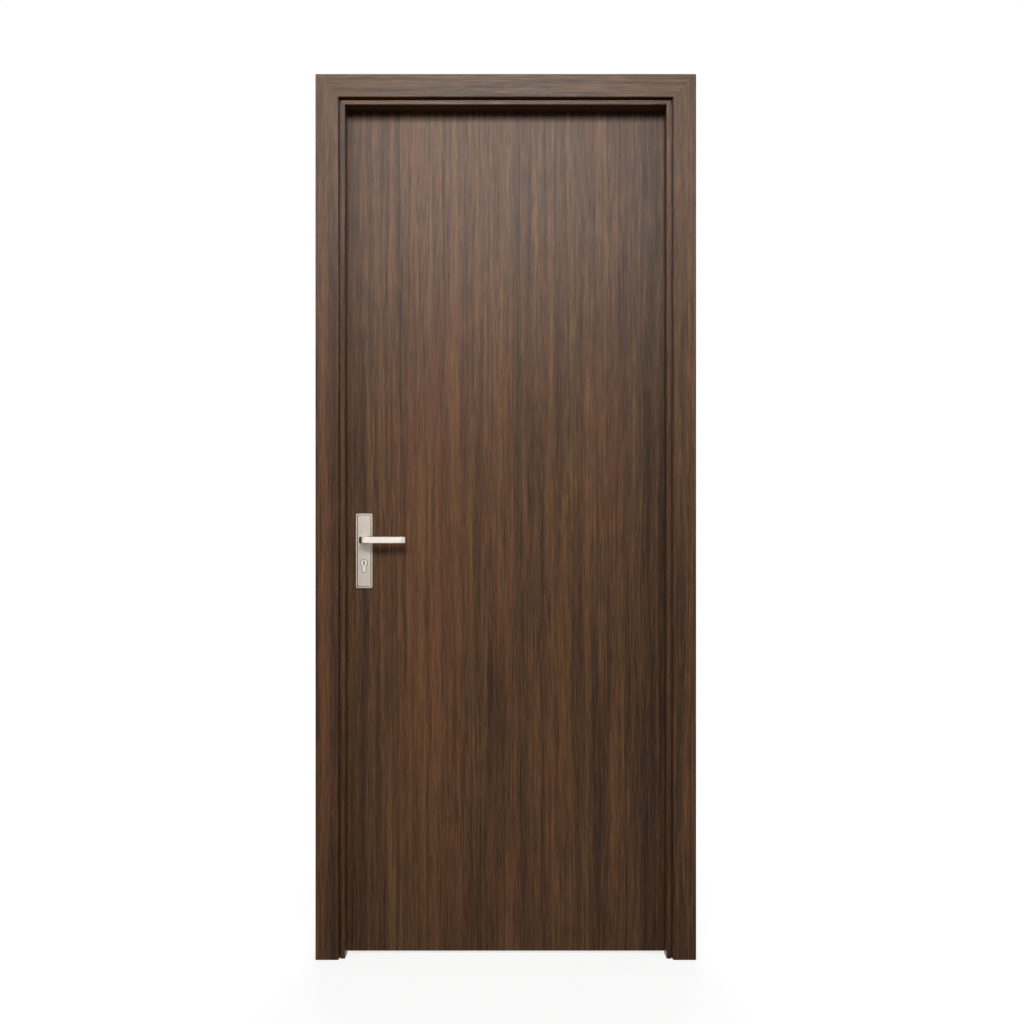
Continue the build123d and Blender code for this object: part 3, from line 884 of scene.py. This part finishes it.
@dataclass
class LockSet:
    """Lever handles on long plates, with the mortise lock and its euro-profile cylinder."""

    plug_radius: float = 6.4 * MM
    plug_rise: float = 0.35 * MM
    plug_ease: float = 0.25 * MM
    plug_steps: int = 48
    key_width: float = 3.0 * MM
    key_height: float = 9.6 * MM
    ward_clearance: float = 0.05 * MM
    # Each step's place, as a share of the slot's half height, and its stand off the cylinder's end
    ward_steps: tuple[Point2, ...] = (
        (-1.0, 0.04 * MM),
        (-0.55, 0.14 * MM),
        (-0.1, 0.08 * MM),
        (0.35, 0.16 * MM),
        (1.0, 0.06 * MM),
    )
    # A near-black ring round each cylinder: painted shade in the gap to the plate.
    gap_shade_inside: float = 0.08 * MM
    gap_shade_outside: float = 1.12 * MM
    gap_shade_height: float = 7.3 * MM
    grub: Stud = Stud(
        radius=2.6 * MM, height=0.25 * MM, ease=0.15 * MM,
        recess=tuple(hex_socket(1.5 * MM)), recess_depth=0.2 * MM,
    )
    grub_stand: float = 22.0 * MM
    forend_screws: ScrewPair = ScrewPair(
        screw=Stud.cross_head(
            radius=3.8 * MM, height=0.4 * MM, ease=0.3 * MM, slot=(2.1 * MM, 0.45 * MM), depth=0.35 * MM
        ),
        inset=9.0 * MM,
        turns=(0.3, 1.2),
    )
    plate_screws: ScrewPair = ScrewPair(
        screw=Stud.cross_head(
            radius=4.2 * MM, height=0.9 * MM, ease=0.6 * MM, slot=(2.4 * MM, 0.5 * MM), depth=0.7 * MM
        ),
        inset=15.0 * MM,
        turns=(0.4, 1.0),
    )
    plate_stand: float = 8.0 * MM

    def dress(self, finishes: Finishes) -> None:
        """Puts nickel on the handle sets, lighter on the levers as a painted highlight, and steel on the
        lock.

        Args:
            finishes: the set's finishes.
        """
        dress(["front_handle_plate", "back_handle_plate"], finishes.nickel)
        # Lighter nickel on the levers: a painted highlight.
        dress(["front_lever", "back_lever"], finishes.lever)
        dress(["lock_cylinder"], finishes.cylinder)
        dress(["mortise_lock", "latch_bolt", "dead_bolt", "spindle"], finishes.lock_steel)

    def plug(self) -> Stud:
        """Gives the cylinder's plug with its key slot."""
        slot = tuple(keyway(self.key_width, self.key_height))
        sizes = (self.plug_radius, self.plug_rise, self.plug_ease)
        return Stud(*sizes, slot, open_slot=True, steps=self.plug_steps)

    def wards(self, name: str, seat: Seat) -> bpy.types.Object:
        """Makes the stepped wards in the key slot, just below the plug's face, near-black as painted shade of
        the slot.

        Args:
            name: the object's name.
            seat: the plug's middle, on the cylinder's end.

        Returns:
            The object.
        """
        half = self.key_width / 2 - self.ward_clearance
        rise = self.key_height / 2 - self.ward_clearance
        shape = bmesh.new()
        rows: list[Ring] = []
        for share, stand in self.ward_steps:
            corners = ((-half, stand), (half, stand), (half, 0.0), (-half, 0.0))
            rows.append([shape.verts.new(seat.point((x, share * rise), height)) for x, height in corners])
        for low, high in zip(rows, rows[1:]):
            band(shape, low, high)
        shape.faces.new(rows[0])
        shape.faces.new(rows[-1])
        return make_piece(name, shape)

    def gap_shade_ring(self, name: str, seat: Seat) -> bpy.types.Object:
        """Makes a near-black rubber ring in the gap between the cylinder and the plate's opening, there as
        painted shade of the gap.

        Args:
            name: the object's name.
            seat: the plug's middle, on the leaf's face.

        Returns:
            The object.
        """
        shape = bmesh.new()
        inner, outer = euro_outline(self.gap_shade_inside), euro_outline(self.gap_shade_outside)
        top = self.gap_shade_height
        rings = [
            [shape.verts.new(seat.point(point, height)) for point in outline]
            for outline, height in ((outer, 0.0), (outer, top), (inner, top), (inner, 0.0))
        ]
        for low, high in zip(rings, rings[1:] + rings[:1]):
            band(shape, low, high)
        return make_piece(name, shape)

    def build_grub(self, side: Side, finishes: Finishes) -> None:
        """Makes the socket screw under a lever's neck that holds it on the spindle.

        Args:
            side: which lever.
            finishes: the set's finishes.
        """
        low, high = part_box("spindle")
        stand_y = side.face_y(f"{side.label}_skin") + side.value * self.grub_stand
        centre = Vector(((low[0] + high[0]) / 2, stand_y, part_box(f"{side.label}_lever")[0][2]))
        piece = self.grub.build(f"{side.label}_lever_grub", Seat(centre, Vector((0.0, 0.0, -1.0))))
        finish_piece(piece, "lever_set", finishes.lock_steel)

    def build_forend(self, finishes: Finishes) -> None:
        """Makes the two screws that hold the lock's forend in the leaf's bevelled edge.

        Args:
            finishes: the set's finishes.
        """
        front_x, back_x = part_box("front_skin")[0][0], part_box("back_skin")[0][0]
        front_y, back_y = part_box("front_skin")[0][1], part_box("back_skin")[1][1]
        normal = Vector((front_y - back_y, back_x - front_x, 0.0)).normalized()
        foot = ((front_x + back_x) / 2, (front_y + back_y) / 2)
        for piece in self.forend_screws.build("forend_screw", "mortise_lock", foot, normal):
            finish_piece(piece, "leaf", finishes.lock_steel)

    def build(self, finishes: Finishes) -> None:
        """Makes the plugs with their wards and gap rings, both near-black as painted shade, and the screws of
        levers, forend and back plate.

        Args:
            finishes: the set's finishes.
        """
        low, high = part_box("lock_cylinder")
        middle_x = (low[0] + high[0]) / 2
        plug_z = high[2] - (high[0] - low[0]) / 2
        plug = self.plug()
        for side in Side:
            end = Seat(Vector((middle_x, side.face_y("lock_cylinder"), plug_z)), side.normal)
            piece = plug.build(f"{side.label}_plug", end)
            finish_piece(piece, "leaf", finishes.cylinder)
            # The wards' near-black finish paints the shade inside the key slot.
            piece = self.wards(f"{side.label}_key_slot_painted_shade", end)
            finish_piece(piece, "leaf", finishes.ward_brass)
            face = Seat(Vector((middle_x, side.face_y(f"{side.label}_skin"), plug_z)), side.normal)
            # A near-black ring paints the shade in the gap round the cylinder.
            piece = self.gap_shade_ring(f"{side.label}_cylinder_gap_shade", face)
            finish_piece(piece, "leaf", finishes.rubber)
            self.build_grub(side, finishes)
        self.build_forend(finishes)
        foot = (middle_x, Side.BACK.face_y("back_skin") + self.plate_stand)
        for piece in self.plate_screws.build("back_plate_screw", "back_handle_plate", foot, Side.BACK.normal):
            finish_piece(piece, "leaf", finishes.nickel)


@dataclass(frozen=True)
class Softbox:
    """A soft rectangular lamp that the camera doesn't see."""

    name: str
    power: float
    place: Point3
    aim: Point3
    size: Point2
    spread_degrees: float = 180.0

    def hang(self) -> None:
        """Hangs the lamp, turns it to its aim and reports it."""
        data = bpy.data.lights.new(self.name, "AREA")
        data.shape = "RECTANGLE"
        data.size, data.size_y = self.size
        data.energy = self.power
        data.spread = math.radians(self.spread_degrees)
        lamp = bpy.data.objects.new(self.name, data)
        lamp.location = self.place
        lamp.rotation_euler = (Vector(self.aim) - Vector(self.place)).to_track_quat("-Z", "Y").to_euler()
        lamp.visible_camera = False
        bpy.context.scene.collection.objects.link(lamp)
        LOG.info("lamp %s", self.name)


def seen_rays(tree: bpy.types.NodeTree) -> Socket:
    """Gives 1 for camera, glossy and transmission rays, and 0 for the rest.

    Args:
        tree: the node tree of a material or the world.

    Returns:
        The value.
    """
    path = tree.nodes.new("ShaderNodeLightPath")
    total = path.outputs["Is Camera Ray"]
    for other in ("Is Glossy Ray", "Is Transmission Ray"):
        add = tree.nodes.new("ShaderNodeMath")
        add.operation = "MAXIMUM"
        tree.links.new(total, add.inputs[0])
        tree.links.new(path.outputs[other], add.inputs[1])
        total = add.outputs["Value"]
    return total


@dataclass
class Studio:
    """Floor, world, lamps and the camera at the photograph's viewpoint."""

    photo_px: float = 1024.0
    door_px_wide: float = 380.85
    door_middle_px: float = 505.8
    door_foot_px: float = 960.0
    eye_line_px: float = 585.0
    camera_distance: float = 4.24
    sensor_mm: float = 36.0
    ambient: float = 0.10
    floor_size: float = 60.0
    floor_drop: float = 0.5 * MM
    floor_grey: float = 0.32
    floor_roughness: float = 0.9
    floor_glow: Point2 = (0.77, 0.98)
    floor_glow_reach: Point2 = (1.2, 4.5)
    lamps: tuple[Softbox, ...] = (
        Softbox(
            "key_lamp", power=44.0, place=(DOOR_MIDDLE_X, -4.20, 3.15), aim=(DOOR_MIDDLE_X, 0.0, 1.80),
            size=(1.6, 1.2), spread_degrees=110.0,
        ),
        Softbox(
            "left_lamp", power=15.0, place=(-2.45, -3.70, 3.10), aim=(DOOR_MIDDLE_X, 0.0, 1.90),
            size=(1.1, 1.0), spread_degrees=110.0,
        ),
        Softbox(
            "right_lamp", power=19.0, place=(2.25, -3.20, 3.05), aim=(DOOR_MIDDLE_X, 0.0, 1.90),
            size=(1.1, 1.0), spread_degrees=110.0,
        ),
        Softbox(
            "strip_lamp", power=7.0, place=(-0.75, -1.25, 2.60), aim=(DOOR_MIDDLE_X, 0.0, 1.30),
            size=(2.2, 0.12),
        ),
        Softbox(
            "back_lamp", power=84.0, place=(DOOR_MIDDLE_X, 4.20, 3.00), aim=(DOOR_MIDDLE_X, 0.0, 1.50),
            size=(3.0, 1.5), spread_degrees=120.0,
        ),
    )

    def camera(self, low: Vector, high: Vector) -> None:
        """Stands the camera so that the door's front face has the photograph's place and size.

        Args:
            low: the lowest corner of the front architraves.
            high: their highest corner.
        """
        px_per_m = self.door_px_wide / (high[0] - low[0])
        data = bpy.data.cameras.new("photo_camera")
        data.sensor_width = self.sensor_mm
        data.lens = px_per_m * self.camera_distance * self.sensor_mm / self.photo_px
        data.shift_x = (self.photo_px / 2 - self.door_middle_px) / self.photo_px
        data.shift_y = (self.eye_line_px - self.photo_px / 2) / self.photo_px
        camera = bpy.data.objects.new("photo_camera", data)
        height = (self.door_foot_px - self.eye_line_px) / px_per_m
        camera.location = ((low[0] + high[0]) / 2, low[1] - self.camera_distance, height)
        camera.rotation_euler = (math.pi / 2, 0.0, 0.0)
        bpy.context.scene.collection.objects.link(camera)
        bpy.context.scene.camera = camera

    def floor(self) -> None:
        """Lays a pale floor that reads white where nothing shades it, and shows the shadow near the door."""
        middle = (DOOR_MIDDLE_X, 0.0, -self.floor_drop)
        bpy.ops.mesh.primitive_plane_add(size=self.floor_size, location=middle)
        plane = bpy.context.object
        plane.name = "studio_floor"
        graph = Graph("pale_floor")
        inputs = graph.shader.inputs
        inputs["Base Color"].default_value = (self.floor_grey, self.floor_grey, self.floor_grey, 1.0)
        inputs["Roughness"].default_value = self.floor_roughness
        inputs["Specular IOR Level"].default_value = 0.0
        inputs["Emission Color"].default_value = WHITE
        reach = graph.node("ShaderNodeVectorMath", operation="LENGTH")
        graph.link(graph.object_place(), reach.inputs[0])
        level = graph.remap(reach.outputs["Value"], self.floor_glow_reach, self.floor_glow)
        glow = graph.operate("MULTIPLY", seen_rays(graph.tree), level)
        graph.link(glow, inputs["Emission Strength"])
        plane.data.materials.append(graph.material)

    def world(self) -> None:
        """Makes a white background that lights the door as a soft grey room."""
        world = bpy.data.worlds.new("white_room")
        world.use_nodes = True
        tree = world.node_tree
        background = tree.nodes["Background"]
        background.inputs["Color"].default_value = WHITE
        level = tree.nodes.new("ShaderNodeMapRange")
        level.inputs["To Min"].default_value = self.ambient
        level.inputs["To Max"].default_value = 1.0
        tree.links.new(seen_rays(tree), level.inputs["Value"])
        tree.links.new(level.outputs["Result"], background.inputs["Strength"])
        bpy.context.scene.world = world

    def build(self) -> None:
        """Sets the whole studio up round the door."""
        bpy.context.scene.view_settings.view_transform = "Standard"
        left, right, head = (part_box(f"front_{member}_architrave") for member in ("lock", "hinge", "head"))
        self.camera(Vector(left[0]), Vector((right[1][0], right[1][1], head[1][2])))
        self.floor()
        self.world()
        for lamp in self.lamps:
            lamp.hang()


def main() -> None:
    """Dresses the door set, adds its small pieces and sets up the studio."""
    logging.basicConfig(level=logging.INFO, format="%(message)s")
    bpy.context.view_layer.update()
    finishes = Finishes.make()
    door_frame, leaf, hinges, lock_set = DoorFrame(), Leaf(), Hinges(), LockSet()
    for assembly in (door_frame, leaf, hinges, lock_set):
        assembly.dress(finishes)
    for assembly in (door_frame, hinges, lock_set):
        assembly.build(finishes)
    Studio().build()


if __name__ == "__main__":
    main()
